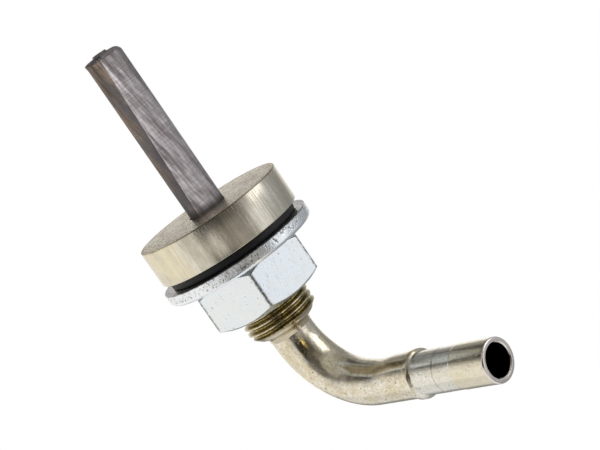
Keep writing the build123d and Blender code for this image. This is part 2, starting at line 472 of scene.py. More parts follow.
def thread_radius(phase):
    """Radius of a 60 degree thread at a phase from 0 to 1 along one pitch, crest at 0."""
    flank = (1 - THREAD_CREST - THREAD_ROOT) / 2
    away = np.minimum(phase, 1 - phase)
    fall = np.clip((away - THREAD_CREST / 2) / flank, 0, 1)
    return THREAD_RADIUS - THREAD_DEPTH * fall


def threaded_shank():
    """Radii, angles and heights of the shank, whose rows follow its right-hand thread."""
    turns = np.linspace(0, 1, THREAD_COLUMNS + 1)[:, None]
    count = math.ceil((THREAD_TOP - SHANK_END) / THREAD_PITCH + 1) * THREAD_ROWS
    drop = np.arange(count)[None, :] / THREAD_ROWS
    heights = np.clip(THREAD_TOP + THREAD_PITCH * (turns - drop), SHANK_END, THREAD_TOP)
    phase = np.mod((heights - THREAD_TOP) / THREAD_PITCH - turns, 1)
    phase = np.where(phase > 1 - PHASE_ERROR, 0, phase)
    chamfer = THREAD_RADIUS - SHANK_CHAMFER + (heights - SHANK_END)
    return np.minimum(thread_radius(phase), chamfer), 2 * math.pi * turns, heights


def fitting_body():
    """Flange, threaded shank and nose."""
    upper = soften([
        (FLOW_BORE_RADIUS, TUBE_SOCKET_FLOOR, 0),
        (FLOW_BORE_RADIUS, STRAINER_FLOOR, 0),
        (STRAINER_SOCKET_RADIUS, STRAINER_FLOOR, 0),
        (STRAINER_SOCKET_RADIUS, FLANGE_TOP, 0),
        (FLANGE_RADIUS, FLANGE_TOP, FLANGE_ROUNDING),
        (FLANGE_RADIUS, 0, FLANGE_ROUNDING),
        (THREAD_RADIUS, 0, 0),
        (THREAD_RADIUS, THREAD_TOP + THREAD_NECK, 0),
    ])
    lower = soften([
        (NOSE_ROOT_RADIUS, SHANK_END, 0),
        (NOSE_WAIST_RADIUS, SHANK_END - NOSE_WAIST_DROP, NOSE_WAIST_ROUNDING),
        (NOSE_TIP_RADIUS, NOSE_END, 0),
        (TUBE_SOCKET_RADIUS, NOSE_END, 0),
        (TUBE_SOCKET_RADIUS, TUBE_SOCKET_FLOOR, 0),
    ])
    radii, angles, heights = threaded_shank()
    above = np.repeat(upper[None], len(angles), axis=0)
    below = np.repeat(lower[None], len(angles), axis=0)
    radii = np.concatenate([above[..., 0], radii, below[..., 0]], axis=1)
    heights = np.concatenate([above[..., 1], heights, below[..., 1]], axis=1)
    grid = polar(radii, angles, heights)
    return build("fitting_body_turned", grid, wrap_columns=False, merge=WELD_DISTANCE)


def weave_height(u, v):
    """Height of plain-woven wires over their mean plane, at u and v counted in wires."""
    def over(across, along):
        wire = np.floor(across + 0.5)
        offset = (across - wire) * WIRE_PITCH
        crown = np.sqrt(np.clip(WIRE_RADIUS ** 2 - offset ** 2, 0, None))
        swing = WIRE_SWING * np.cos(math.pi * (along + wire))
        return np.where(crown > 0, crown + swing, -WIRE_RADIUS)
    return np.maximum(over(u, v), over(v, u + 1))


def top_height(x, y):
    """Height of the strainer's slanted top over a place, rounded off at the fold."""
    low_side = math.radians(TOP_LOW_SIDE_ANGLE)
    fold_side = math.radians(FOLD_SIDE_ANGLE)
    fall = math.tan(math.radians(TOP_SLANT)) * (x * math.cos(low_side) + y * math.sin(low_side))
    fold_start = GAUZE_RADIUS + LAP_STEP - FOLD_ROUNDING
    past_fold = x * math.cos(fold_side) + y * math.sin(fold_side) - fold_start
    past_fold = np.clip(past_fold, 0, FOLD_END_SHARE * FOLD_ROUNDING)
    drop = FOLD_ROUNDING - np.sqrt(FOLD_ROUNDING ** 2 - past_fold ** 2)
    return STRAINER_RIM - fall - drop


def rim_flare(angle, height):
    """How far the strainer's rim is bent outwards on one side."""
    share = np.clip(np.cos(angle - math.radians(FLARE_ANGLE)), 0, 1) ** 2
    return FLARE * share * np.clip((height - STRAINER_RIM + FLARE_HEIGHT) / FLARE_HEIGHT, 0, 1) ** 2


def rim_lip(angle):
    """Height of the raw edge that stands up over part of the strainer's rim."""
    past_start = np.mod(np.degrees(angle) - LIP_START_ANGLE, 360)
    return np.where(past_start < LIP_END_ANGLE - LIP_START_ANGLE, LIP_HEIGHT, 0)


def strainer_screen():
    """Woven wall rolled into a tube, whose lap seam drifts round as it rises."""
    wall_height = STRAINER_RIM - STRAINER_FLOOR
    wires_round = round(2 * math.pi * GAUZE_RADIUS / WIRE_PITCH)
    wires_up = round(wall_height / WIRE_PITCH)
    u = np.arange(wires_round * WEAVE_STEPS + 1)[:, None] / WEAVE_STEPS
    v = np.arange(wires_up * WEAVE_STEPS + 1)[None, :] / WEAVE_STEPS
    woven = weave_height(u, v)
    height = STRAINER_FLOOR + wall_height * v / wires_up + 0 * u
    turn = u / wires_round + 0 * v
    seam = np.interp(height, [FLANGE_TOP, STRAINER_RIM], [SEAM_BASE_ANGLE, SEAM_TOP_ANGLE])
    angle = np.radians(seam) + 2 * math.pi * turn
    flare = rim_flare(angle, height)
    relief = WEAVE_RELIEF * (woven - WIRE_RADIUS - WIRE_SWING)
    outer = GAUZE_RADIUS + LAP_STEP * (1 - turn) + relief + flare
    limit = top_height(outer * np.cos(angle), outer * np.sin(angle)) + rim_lip(angle)
    near_top = np.clip((height - STRAINER_RIM + TOP_BLEND_HEIGHT) / TOP_BLEND_HEIGHT, 0, 1)
    height = height + near_top * (limit - STRAINER_RIM)
    inner_rows = slice(None, None, -WEAVE_STEPS * INNER_WIRE_STEP)
    inner_grid = polar(GAUZE_INNER_RADIUS + flare, angle, height)[:, inner_rows]
    grid = np.concatenate([polar(outer, angle, height), inner_grid], axis=1)
    depth = np.concatenate([woven, np.full_like(woven[:, inner_rows], -WIRE_RADIUS)], axis=1)
    inner_shade = np.where(height > limit - INNER_LIT_HEIGHT, 1.0, INNER_SHADE)
    shade = np.concatenate([np.ones_like(woven), inner_shade[:, inner_rows]], axis=1)
    around = np.concatenate([turn, turn[:, inner_rows]], axis=1)
    arc = 2 * math.pi * GAUZE_RADIUS * around
    sheet = np.stack([arc - STREAK_SLOPE * grid[..., 2], grid[..., 2], 0 * arc], axis=-1)
    extras = {"depth": depth, "turn": around, "shade": shade, "sheet": sheet}
    return build("strainer_screen_woven", grid, extras=extras)


def woven_sheet(name, face, under, woven, turn, shades, **settings):
    """Closed piece with a woven face and a plain underside, each with its own shade."""
    grid = np.concatenate([face, under[:, ::-1]], axis=1)
    depth = np.concatenate([woven, np.full_like(woven, -WIRE_RADIUS)], axis=1)
    shade = np.concatenate([shade + 0 * woven for shade in shades], axis=1)
    extras = {"depth": depth, "turn": np.full_like(depth, turn), "shade": shade, "sheet": grid}
    return build(name, grid, extras=extras, **settings)


def strainer_flap():
    """Woven flap, folded over from the wall to cover half of the strainer's top."""
    side = math.radians(FOLD_SIDE_ANGLE)
    out = np.linspace(FLAP_EDGE, FLAP_EDGE + FLAP_LENGTH, FLAP_STEPS)[:, None]
    widening = FLAP_WIDENING * np.clip((out - FLAP_WIDENING_START) / FLAP_WIDENING_LENGTH, 0, 1)
    half_squared = (GAUZE_INNER_RADIUS + widening) ** 2 - out ** 2
    half = np.sqrt(np.maximum(half_squared, FLAP_LEAST_WIDTH ** 2))
    along = np.linspace(-1, 1, FLAP_STEPS)[None, :] * half
    out = out + ripple(FLAP_FRAY, along) * (out < FLAP_EDGE + FLAP_FRAY_WIDTH)
    x = out * math.cos(side) - along * math.sin(side)
    y = out * math.sin(side) + along * math.cos(side)
    woven = weave_height(out / WIRE_PITCH, along / WIRE_PITCH)
    height = top_height(x, y) - FLAP_SINK + SHEET_RELIEF * woven
    face = np.stack([x, y, height], axis=-1)
    under = np.stack([FLAP_UNDER_SHARE * x, FLAP_UNDER_SHARE * y, height - FLAP_THICKNESS], axis=-1)
    shades = (FLAP_SHADE, FLAP_SHADE)
    return woven_sheet("strainer_flap_woven", face, under, woven, FLAP_TURN, shades, wrap_columns=False)


def strainer_layer():
    """Crumpled woven layer just inside the strainer's rim, with patches of painted shadow for the dark
    gaps at the wall.
    """
    angles = np.linspace(0, 2 * math.pi, LAYER_COLUMNS, endpoint=False)[:, None]
    share = np.linspace(0, 1, LAYER_ROWS)[None, :]
    edge = LAYER_RADIUS + ripple(LAYER_EDGE_WAVE, angles) + ripple(LAYER_EDGE_FRAY, angles)
    x = edge * share * np.cos(angles)
    y = edge * share * np.sin(angles)
    woven = weave_height(x / WIRE_PITCH, y / WIRE_PITCH)
    crumple = ripple(LAYER_CRUMPLE, x, y) + ripple(LAYER_CREASE, x, y)
    plane = top_height(LAYER_SLANT_SHARE * x, LAYER_SLANT_SHARE * y) - LAYER_RECESS
    height = plane + crumple + SHEET_RELIEF * woven - LAYER_EDGE_DROP * share ** LAYER_EDGE_POWER
    face = np.stack([x, y, height], axis=-1)
    base = STRAINER_RIM - LAYER_RECESS - LAYER_THICKNESS
    under = np.stack([x, y, np.full_like(x, base)], axis=-1)
    # Painted shadow: dark patches for the gaps between the layer's wires and the wall
    gap_shadow = GAP_SHADOW_LEVEL + GAP_SHADOW_CONTRAST * ripple(GAP_SHADOW_ROWS, x, y) * ripple(GAP_SHADOW_COLUMNS, x, y)
    shades = (np.clip(gap_shadow, 0, 1), INNER_SHADE)
    return woven_sheet("strainer_layer_woven", face, under, woven, LAYER_TURN, shades, merge=WELD_DISTANCE)


def sealing_washer():
    """Rubber ring with soft outer edges."""
    radius, low, high = reach("sealing_washer")
    outline = soften([
        (SEAL_BORE_RADIUS, low, 0),
        (radius, low, SEAL_ROUNDING),
        (radius, high, SEAL_ROUNDING),
        (SEAL_BORE_RADIUS, high, 0),
    ], steps=6)
    return build("sealing_washer_rubber", turn_grid(outline, SEAL_COLUMNS))


def tear_marks(angles, heights, low, high):
    """Strength of the tear marks on a punched wall, at each angle and height."""
    tears = np.zeros((len(angles), len(heights)))
    for _ in range(TEAR_COUNT):
        centre = random.uniform(0, 2 * math.pi)
        width = random.uniform(*TEAR_WIDTHS)
        bottom = random.uniform(low + TEAR_LOW_MARGIN, high - TEAR_TOP_MARGIN)
        length = random.uniform(*TEAR_LENGTHS)
        strength = random.uniform(*TEAR_STRENGTHS)
        away = np.angle(np.exp(1j * (angles - centre)))
        along = np.clip((heights - bottom) / length, 0, 1)
        tears += np.outer(np.exp(-(away / width) ** 2), np.sin(math.pi * along)) * strength
    return np.clip(tears, 0, TEAR_LIMIT)


def flat_washer():
    """Punched washer with a rolled-over lower edge and tear marks on its wall."""
    radius, low, high = reach("flat_washer")
    outline = divided(soften([
        (WASHER_BORE_RADIUS, low, WASHER_BORE_ROUNDING),
        (radius, low, WASHER_ROUNDING),
        (radius, high, WASHER_TOP_BREAK),
        (WASHER_BORE_RADIUS, high, WASHER_BORE_ROUNDING),
    ], steps=7), WASHER_STEP, radius - WASHER_ROUNDING)
    radii = outline[:, 0]
    heights = outline[:, 1]
    angles = np.linspace(0, 2 * math.pi, WASHER_COLUMNS, endpoint=False)
    wall = np.clip((radii - radius + WALL_DEPTH) / WALL_DEPTH, 0, 1)
    depth = tear_marks(angles, heights, low, high) * wall
    grid = turn_grid(outline, WASHER_COLUMNS)
    grid[..., :2] *= (1 - depth * TEAR_DEPTH / radius)[..., None]
    # Darker along the top outer edge, kept with the tear marks
    dark_top_edge = (heights > high - DARK_EDGE_HEIGHT) & (radii > radius - DARK_EDGE_WIDTH)
    return build("flat_washer_punched", grid, extras={"tear": np.maximum(depth, dark_top_edge[None, :])})


def hex_nut():
    """Hexagon nut with rounded corners and the arcs that its end cones cut on the flats."""
    low, high = (point.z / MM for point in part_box("hex_nut"))
    corner = NUT_HALF_FLATS / math.cos(math.pi / 6)
    ring = [(corner * math.cos(k * math.pi / 3), corner * math.sin(k * math.pi / 3), NUT_CORNER_ROUNDING)
            for k in range(6)]
    slope = math.tan(math.radians(NUT_CHAMFER_ANGLE))
    mouth = NUT_BORE_RADIUS + NUT_MOUTH_CHAMFER
    columns = []
    for x, y in divided(soften(ring, steps=6), NUT_STEP):
        side = math.hypot(x, y)
        drop = (side - NUT_FACE_RADIUS) * slope
        outline = soften([
            (NUT_BORE_RADIUS, low + NUT_MOUTH_CHAMFER, 0),
            (mouth, low, NUT_EDGE_ROUNDING),
            (NUT_FACE_RADIUS, low, NUT_EDGE_ROUNDING),
            (side, low + drop, NUT_EDGE_ROUNDING),
            (side, low + drop + NUT_EDGE_LENGTH, 0),
            (side, high - drop - NUT_EDGE_LENGTH, 0),
            (side, high - drop, NUT_EDGE_ROUNDING),
            (NUT_FACE_RADIUS, high, NUT_EDGE_ROUNDING),
            (mouth, high, NUT_EDGE_ROUNDING),
            (NUT_BORE_RADIUS, high - NUT_MOUTH_CHAMFER, 0),
        ], steps=4)
        angle = math.atan2(y, x) + math.radians(NUT_CORNER_ANGLE)
        columns.append(polar(outline[:, 0], angle, outline[:, 1]))
    grid = np.array(columns)
    radius = np.hypot(grid[..., 0], grid[..., 1])
    fall = (radius - NUT_FACE_RADIUS) * slope
    from_cone = np.minimum(high - fall - grid[..., 2], grid[..., 2] - low - fall)
    on_cone = (radius > NUT_FACE_RADIUS + NUT_CONE_MARGIN) & (from_cone < NUT_CONE_DEPTH)
    # Darker along the rounded corners, kept with the speckled cone arcs
    ridge = np.clip((radius - NUT_RIDGE_RADIUS) / NUT_RIDGE_WIDTH, 0, 1)
    return build("hex_nut_zinc", grid, extras={"edge": np.maximum(NUT_CONE_WEAR * on_cone, ridge)})


def along_tube(station):
    """Centre and bend progress at a distance along the tube's centre line."""
    turn = np.clip((station - BEND_STATION) / BEND_RADIUS, 0, math.radians(BEND_ANGLE))
    before = np.minimum(station, BEND_STATION)
    after = np.maximum(station - OUTLET_STATION, 0)
    x = BEND_RADIUS * (1 - np.cos(turn)) + after * np.sin(turn)
    z = TUBE_SOCKET_FLOOR - before - BEND_RADIUS * np.sin(turn) - after * np.cos(turn)
    return x, z, turn


def inner_side_height(station, radius, angle):
    """How far the tube's wall stands out inside its bend, and is pressed in after it."""
    full = BEND_FULLNESS * np.exp(-((station - BEND_FULL_STATION) / BEND_FULL_WIDTH) ** 2)
    dip = BEND_DIP * np.exp(-((station - BEND_DIP_STATION) / BEND_DIP_WIDTH) ** 2)
    outside = (radius > SEAT_RADIUS - 2 * GROOVE_DEPTH) & (station > BEND_STATION / 2)
    return np.where(outside, full - dip, 0) * np.clip(INNER_SIDE_SPREAD * np.cos(angle), 0, 1)


def painted_dark_reflection(station, angle):
    """Strength of the painted dark reflection along the tube, at a place and an angle in degrees."""
    centre = np.interp(station, DARK_REFLECTION_STATIONS, DARK_REFLECTION_ANGLES)
    width = np.interp(station, DARK_REFLECTION_STATIONS, DARK_REFLECTION_WIDTHS)
    return np.interp(station, DARK_REFLECTION_STATIONS, DARK_REFLECTION_STRENGTHS) * np.exp(-((angle - centre) / width) ** 2)


def elbow_tube():
    """Bent tube with bead, seat and open end."""
    outline = divided(soften([
        (TUBE_BORE_RADIUS, 0, TUBE_ROUNDING),
        (TUBE_RADIUS, 0, TUBE_ROUNDING),
        (TUBE_RADIUS, BEAD_STATION, BEAD_ROOT_ROUNDING),
        (BEAD_RADIUS, BEAD_STATION, BEAD_BACK_ROUNDING),
        (BEAD_RADIUS, BEAD_END_STATION, BEAD_FRONT_ROUNDING),
        (SEAT_RADIUS, BEAD_END_STATION + BEAD_FRONT_TAPER, BEAD_FOOT_ROUNDING),
        (SEAT_RADIUS, GROOVE_STATION, TUBE_ROUNDING),
        (SEAT_RADIUS - GROOVE_DEPTH, GROOVE_STATION + GROOVE_SLOPE, TUBE_ROUNDING),
        (SEAT_RADIUS - GROOVE_DEPTH, GROOVE_END_STATION, TUBE_ROUNDING),
        (HOSE_END_RADIUS, GROOVE_END_STATION + GROOVE_SLOPE, TUBE_ROUNDING),
        (HOSE_END_RADIUS, TUBE_END_STATION, RIM_ROUNDING),
        (TUBE_BORE_RADIUS + MOUTH_CHAMFER, TUBE_END_STATION, MOUTH_ROUNDING),
        (TUBE_BORE_RADIUS, TUBE_END_STATION - MOUTH_CHAMFER, MOUTH_ROUNDING),
    ], steps=5), TUBE_STEP)
    radius = outline[:, 0]
    station = outline[:, 1]
    x, z, turn = along_tube(station)
    squeeze = BEND_FLATTENING * np.sin(math.pi * turn / math.radians(BEND_ANGLE)) ** 2
    angles = np.linspace(0, 2 * math.pi, TUBE_COLUMNS, endpoint=False)[:, None]
    radius = radius + inner_side_height(station, radius, angles)
    across = radius * (1 - squeeze) * np.cos(angles)
    sideways = radius * (1 + squeeze / 2) * np.sin(angles)
    grid = np.stack([x + across * np.cos(turn), sideways, z + across * np.sin(turn)], axis=-1)
    place = np.stack([across, sideways, station + 0 * angles], axis=-1)
    # Painted dark reflection, kept on each point
    dark_reflection = painted_dark_reflection(station, np.degrees(np.arctan2(sideways, across)))
    return build("elbow_tube_bent", grid, place=place, extras={"dark_reflection": dark_reflection})


def node(tree, kind, inputs=None, **settings):
    """Adds a node, with its inputs linked to sockets or set to values."""
    made = tree.nodes.new(kind)
    for key, value in settings.items():
        setattr(made, key, value)
    for key, value in (inputs or {}).items():
        fill(tree, made.inputs[key], value)
    return made


def fill(tree, socket, value):
    """Links an input to a socket, or sets it to a value."""
    if isinstance(value, bpy.types.NodeSocket):
        tree.links.new(value, socket)
    else:
        socket.default_value = value


def attribute(tree, name, output="Vector"):
    """A value kept on the mesh's points."""
    return node(tree, "ShaderNodeAttribute", attribute_name=name).outputs[output]


def scaled(tree, vector, scale):
    """The vector with each axis scaled."""
    return node(tree, "ShaderNodeVectorMath", {0: vector, 1: scale}, operation="MULTIPLY").outputs[0]


def towards(tree, place, direction):
    """How far a place lies in a direction."""
    made = node(tree, "ShaderNodeVectorMath", {0: place, 1: direction}, operation="DOT_PRODUCT")
    return made.outputs["Value"]


def axis_radius(tree, place):
    """Distance of a place from its z axis."""
    flat = scaled(tree, place, (1, 1, 0))
    return node(tree, "ShaderNodeVectorMath", {0: flat}, operation="LENGTH").outputs["Value"]


def axis_height(tree, place):
    """Height of a place along its z axis."""
    return node(tree, "ShaderNodeSeparateXYZ", {0: place}).outputs["Z"]


def noise(tree, vector, scale=(1, 1, 1), detail=4.0, roughness=0.55, distortion=0.0):
    """Noise value over places scaled to cycles per millimetre."""
    inputs = {
        "Vector": scaled(tree, vector, scale),
        "Scale": 1.0,
        "Detail": detail,
        "Roughness": roughness,
        "Distortion": distortion,
    }
    return node(tree, "ShaderNodeTexNoise", inputs).outputs["Fac"]


def spread(tree, value, low, high, to_low=0.0, to_high=1.0):
    """The value mapped from one range to another, and held at its ends."""
    inputs = {"Value": value, "From Min": low, "From Max": high, "To Min": to_low, "To Max": to_high}
    return node(tree, "ShaderNodeMapRange", inputs).outputs[0]


def maths(tree, operation, first, second=0.0):
    """One arithmetic step."""
    return node(tree, "ShaderNodeMath", {0: first, 1: second}, operation=operation).outputs[0]


def times(tree, first, second):
    """The product of two values."""
    return maths(tree, "MULTIPLY", first, second)


def mixed(tree, factor, first, second):
    """A colour between two colours."""
    made = node(tree, "ShaderNodeMix", {0: factor}, data_type="RGBA")
    for key, value in zip(MIX_INPUTS, (first, second)):
        fill(tree, made.inputs[key], (*value, 1.0) if isinstance(value, tuple) else value)
    return made.outputs[MIX_OUTPUT]


def bumped(tree, height, distance, strength=1.0, normal=None):
    """A normal tilted by a height, whose full range is a distance in mm."""
    inputs = {"Height": height, "Distance": distance * MM, "Strength": strength}
    if normal:
        inputs["Normal"] = normal
    return node(tree, "ShaderNodeBump", inputs).outputs[0]


def material(name, metallic):
    """A new material with its node tree and main shader."""
    made = bpy.data.materials.new(name)
    made.use_nodes = True
    shader = made.node_tree.nodes["Principled BSDF"]
    shader.inputs["Metallic"].default_value = metallic
    return made, made.node_tree, shader


def finish_surface(tree, shader, colour, roughness, normal):
    """Links a surface's colour, roughness and relief to its shader."""
    tree.links.new(colour, shader.inputs["Base Color"])
    tree.links.new(roughness, shader.inputs["Roughness"])
    tree.links.new(normal, shader.inputs["Normal"])


def scratches(tree, place, fine, coarse):
    """Thin scratch lines along the axis whose scale is smallest."""
    lines = noise(tree, place, fine, detail=2.0)
    patches = noise(tree, place, coarse, detail=3.0)
    return times(tree, spread(tree, lines, 0.55, 0.72), spread(tree, patches, 0.4, 0.65))


def plated_body():
    """Scuffed nickel plate on flange and nose, rubbed through to an olive brass tint on the thread, with
    painted shade in the thread's valleys and a painted highlight on its crests.
    """
    made, tree, shader = material("plated_body", 1.0)
    place = attribute(tree, "place")
    height = axis_height(tree, place)
    radius = axis_radius(tree, place)
    clouds = noise(tree, place, (0.16, 0.16, 0.16), detail=5.0)
    specks = noise(tree, place, (2.2, 2.2, 2.2), detail=3.0)
    scuffs = scratches(tree, place, (4.0, 4.0, 0.25), (0.5, 0.5, 0.2))
    nickel = mixed(tree, spread(tree, clouds, 0.35, 0.65), NICKEL_DULL, NICKEL_BRIGHT)
    nickel = mixed(tree, spread(tree, specks, 0.69, 0.76), nickel, NICKEL_SPECK)
    nickel = mixed(tree, times(tree, scuffs, 0.4), nickel, NICKEL_SCUFF)
    lines = noise(tree, place, (3.2, 3.2, 0.06), detail=3.0, roughness=0.7)
    nickel = mixed(tree, spread(tree, lines, 0.42, 0.62, 0.0, 0.55), nickel, NICKEL_LINE)
    swirls = noise(tree, place, (1.2, 1.2, 0.3), detail=6.0, roughness=0.75, distortion=2.0)
    arcs = noise(tree, place, (0.4, 0.4, 0.1), detail=3.0, roughness=0.6, distortion=1.0)
    tarnish = times(tree, spread(tree, swirls, 0.45, 0.57), spread(tree, arcs, 0.43, 0.57))
    worn_rim = spread(tree, radius, *WORN_RIM, 0.0, 0.35)
    on_top = spread(tree, height, *TOP_FACE)
    tarnish = times(tree, on_top, maths(tree, "MAXIMUM", tarnish, worn_rim))
    nickel = mixed(tree, times(tree, tarnish, 0.8), nickel, NICKEL_TARNISH)
    mottle = noise(tree, place, (0.7, 0.7, 0.5), detail=6.0, roughness=0.7)
    nickel = mixed(tree, spread(tree, mottle, 0.40, 0.60, 0.28, 0.0), nickel, NICKEL_MOTTLE)
    rim = times(tree, spread(tree, height, *DARK_RIM_TOP), spread(tree, radius, *DARK_RIM))
    nickel = mixed(tree, times(tree, rim, 0.8), nickel, NICKEL_RIM)
    stained = spread(tree, towards(tree, place, STAINED_SIDE), *STAINED_EDGE)
    stained = times(tree, stained, spread(tree, clouds, 0.38, 0.55))
    nickel = mixed(tree, times(tree, stained, 0.7), nickel, NICKEL_STAIN)
    nose = spread(tree, height, *NOSE_TOP)
    nickel = mixed(tree, times(tree, nose, 0.75), nickel, NICKEL_NOSE)
    # Painted shade in the thread's valleys and a painted highlight on its crests, over the olive brass
    # tint
    valley = mixed(tree, spread(tree, specks, 0.35, 0.65), SHADED_VALLEY_DARK, SHADED_VALLEY_LIGHT)
    crest = mixed(tree, spread(tree, specks, 0.4, 0.6), LIT_CREST_DARK, LIT_CREST_LIGHT)
    brass = mixed(tree, spread(tree, radius, *THREAD_FLANK), valley, crest)
    on_thread = times(tree, spread(tree, height, *BRASS_TOP), spread(tree, height, *BRASS_FOOT))
    colour = mixed(tree, on_thread, nickel, brass)
    roughness = spread(tree, maths(tree, "ADD", clouds, scuffs), 0.3, 1.3, 0.17, 0.38)
    not_nose = spread(tree, height, *NOSE_TOP, 1.0, 0.0)
    normal = bumped(tree, times(tree, scuffs, not_nose), 0.015)
    normal = bumped(tree, times(tree, lines, not_nose), 0.006, 1.0, normal)
    normal = bumped(tree, times(tree, on_top, swirls), 0.10, 1.0, normal)
    normal = bumped(tree, noise(tree, place, (0.8, 0.8, 0.08), detail=4.0), 0.02, 0.5, normal)
    finish_surface(tree, shader, colour, roughness, normal)
    tree.links.new(mixed(tree, tarnish, GLANCE_CLEAN, GLANCE_TARNISHED), shader.inputs["Specular Tint"])
    return made


def wire_gauze():
    """Dull woven wire, browner on the side left of the seam, with painted shade between the wires, on the
    side away from the seam and where the shade value is low, a painted highlight along the seam, and
    darker towards the foot.
    """
    made, tree, shader = material("wire_gauze", 0.25)
    height = axis_height(tree, attribute(tree, "place"))
    sheet = attribute(tree, "sheet")
    depth = attribute(tree, "depth", "Fac")
    turn = attribute(tree, "turn", "Fac")
    shade = attribute(tree, "shade", "Fac")
    streaks = noise(tree, sheet, (0.9, 0.06, 1.0), detail=5.0, roughness=0.65)
    rings = noise(tree, sheet, (0.18, 2.9, 1.0), detail=2.0, roughness=0.6)
    grain = noise(tree, sheet, (2.6, 0.35, 1.0), detail=3.0, roughness=0.6)
    patches = noise(tree, sheet, (0.38, 0.13, 1.0), detail=4.0)
    light = mixed(tree, spread(tree, streaks, 0.40, 0.60), WIRE_DARK, WIRE_LIGHT)
    light = mixed(tree, spread(tree, patches, 0.50, 0.66, 0.0, 0.75), light, WIRE_PATCH)
    # Painted shade on the light-toned side, further round from the seam
    light = mixed(tree, spread(tree, turn, *PAINTED_SHADE_SIDE, 0.0, 0.62), light, WIRE_PAINTED_SHADE)
    brown = mixed(tree, spread(tree, streaks, 0.38, 0.60), BROWN_DARK, BROWN_LIGHT)
    brown = mixed(tree, spread(tree, patches, 0.46, 0.60, 0.0, 0.9), brown, BROWN_PATCH)
    lower = times(tree, spread(tree, height, *LOWER_TOP), spread(tree, height, *LOWER_FOOT))
    lower = times(tree, lower, spread(tree, turn, *LOWER_SIDE))
    brown = mixed(tree, times(tree, lower, 0.75), brown, BROWN_LOWER)
    wire = mixed(tree, spread(tree, turn, *BROWN_SIDE), light, brown)
    # Painted highlight along the edge of the lap seam
    wire = mixed(tree, spread(tree, turn, *SEAM_HIGHLIGHT_EDGE, 0.6, 0.0), wire, WIRE_SEAM_HIGHLIGHT)
    wire = mixed(tree, spread(tree, rings, 0.42, 0.56, 0.28, 0.0), wire, WIRE_RING)
    wire = mixed(tree, spread(tree, grain, 0.38, 0.56, 0.38, 0.0), wire, WIRE_GRAIN)
    # Painted shade between the wires, where the weave lies deep
    colour = mixed(tree, spread(tree, depth, -0.02, 0.09), mixed(tree, 0.55, wire, WIRE_GAP_SHADE), wire)
    # Painted shade where the shade value is low, and darker towards the foot at the flange
    above_dark_foot = spread(tree, height, *DARK_FOOT, 0.12, 1.0)
    colour = mixed(tree, times(tree, shade, above_dark_foot), SHADE_AND_FOOT_BLACK, colour)
    roughness = spread(tree, streaks, 0.3, 0.7, 0.40, 0.55)
    normal = bumped(tree, noise(tree, sheet, (0.5, 0.14, 1.0), detail=3.0), 0.15, 0.7)
    finish_surface(tree, shader, colour, roughness, normal)
    return made


def rubber():
    """Matt black rubber with a slight grain."""
    made, tree, shader = material("rubber", 0.0)
    grain = noise(tree, attribute(tree, "place"), (3.0, 3.0, 3.0), detail=5.0)
    colour = mixed(tree, spread(tree, grain, 0.4, 0.7), RUBBER_DARK, RUBBER_LIGHT)
    roughness = spread(tree, grain, 0.3, 0.7, 0.45, 0.65)
    finish_surface(tree, shader, colour, roughness, bumped(tree, grain, 0.03, 0.6))
    return made


def zinc(name, dark_mark_places, dull, bright):
    """Bright blue-white zinc plate with specks, spangle and fine scratches."""
    made, tree, shader = material(name, 1.0)
    place = attribute(tree, "place")
    clouds = noise(tree, place, (0.35, 0.35, 0.35), detail=5.0)
    specks = noise(tree, place, (1.8, 1.8, 1.8), detail=2.0)
    scuffs = scratches(tree, place, (3.5, 3.5, 0.5), (0.4, 0.4, 0.4))
    colour = mixed(tree, spread(tree, clouds, 0.3, 0.7), dull, bright)
    colour = mixed(tree, spread(tree, specks, 0.68, 0.74), colour, ZINC_SPECK)
    # Dark marks: tear marks, speckled cone arcs and darker edges
    dark_marks = times(tree, attribute(tree, dark_mark_places, "Fac"), spread(tree, specks, 0.36, 0.52, 0.35, 1.0))
    colour = mixed(tree, spread(tree, dark_marks, 0.1, 0.9, 0.0, 0.8), colour, ZINC_WEAR_AND_DARK_EDGE)
    roughness = spread(tree, maths(tree, "ADD", clouds, scuffs), 0.3, 1.3, 0.24, 0.42)
    normal = bumped(tree, scuffs, 0.008)
    normal = bumped(tree, noise(tree, place, (0.9, 0.9, 0.9), detail=4.0), 0.03, 0.4, normal)
    finish_surface(tree, shader, colour, roughness, normal)
    return made


